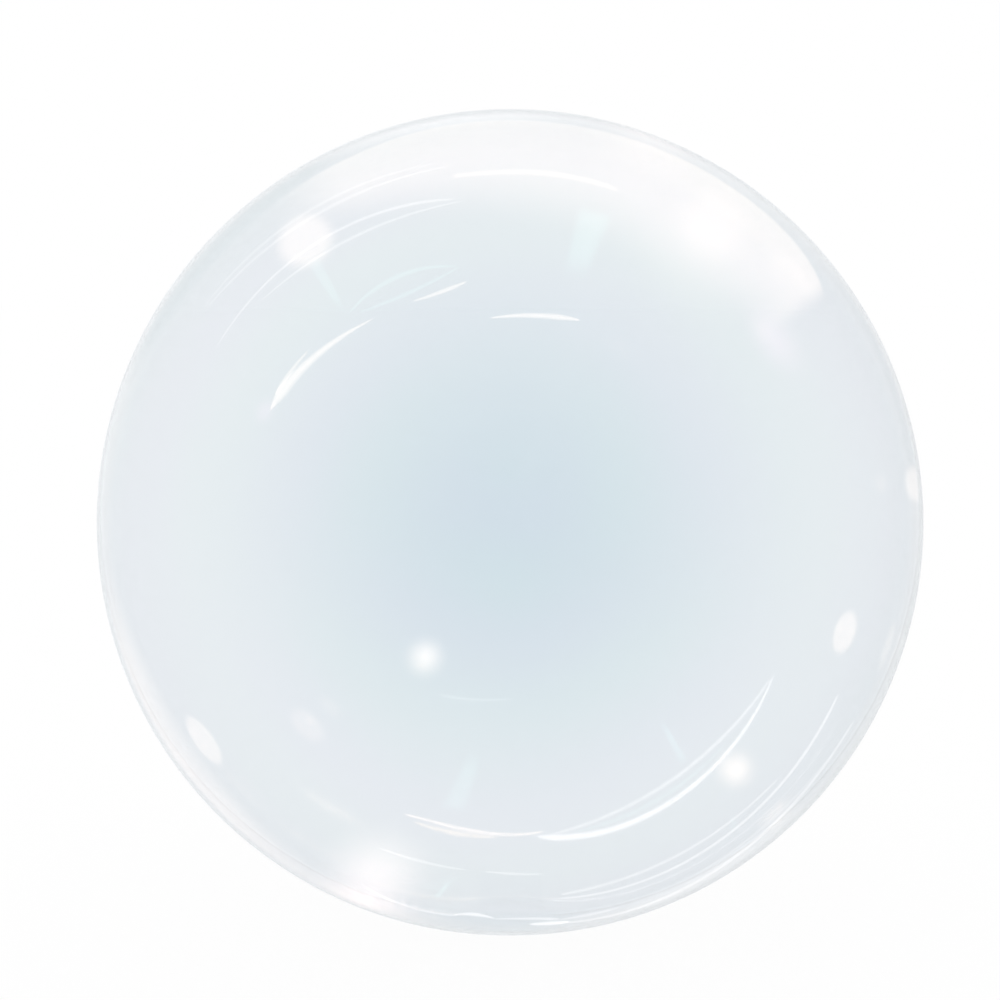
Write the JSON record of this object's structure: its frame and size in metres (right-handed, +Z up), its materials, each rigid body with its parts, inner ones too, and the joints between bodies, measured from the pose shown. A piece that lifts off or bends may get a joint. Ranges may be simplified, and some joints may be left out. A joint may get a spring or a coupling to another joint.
{
  "type": "clear bubble balloon",
  "caption": "Clear inflated bubble of thin stretched plastic film with a low weld line round it and a flat filling neck folded under, used as a see-through party decoration.",
  "frame": {"origin": "middle of the small flat spot that the balloon rests on", "axes": "+Z up, -Y the front, so the weld circle stands in the XZ plane and the neck lies along +Y on the ground"},
  "size_m": [0.5018, 0.5, 0.4979],
  "materials": {
    "clear_film": "clear, smooth and shiny stretched film with a faint blue-grey cast and a slight pearly sheen"
  },
  "bodies": {
    "root": {"bubble_envelope": "clear_film"}
  },
  "joints": []
}
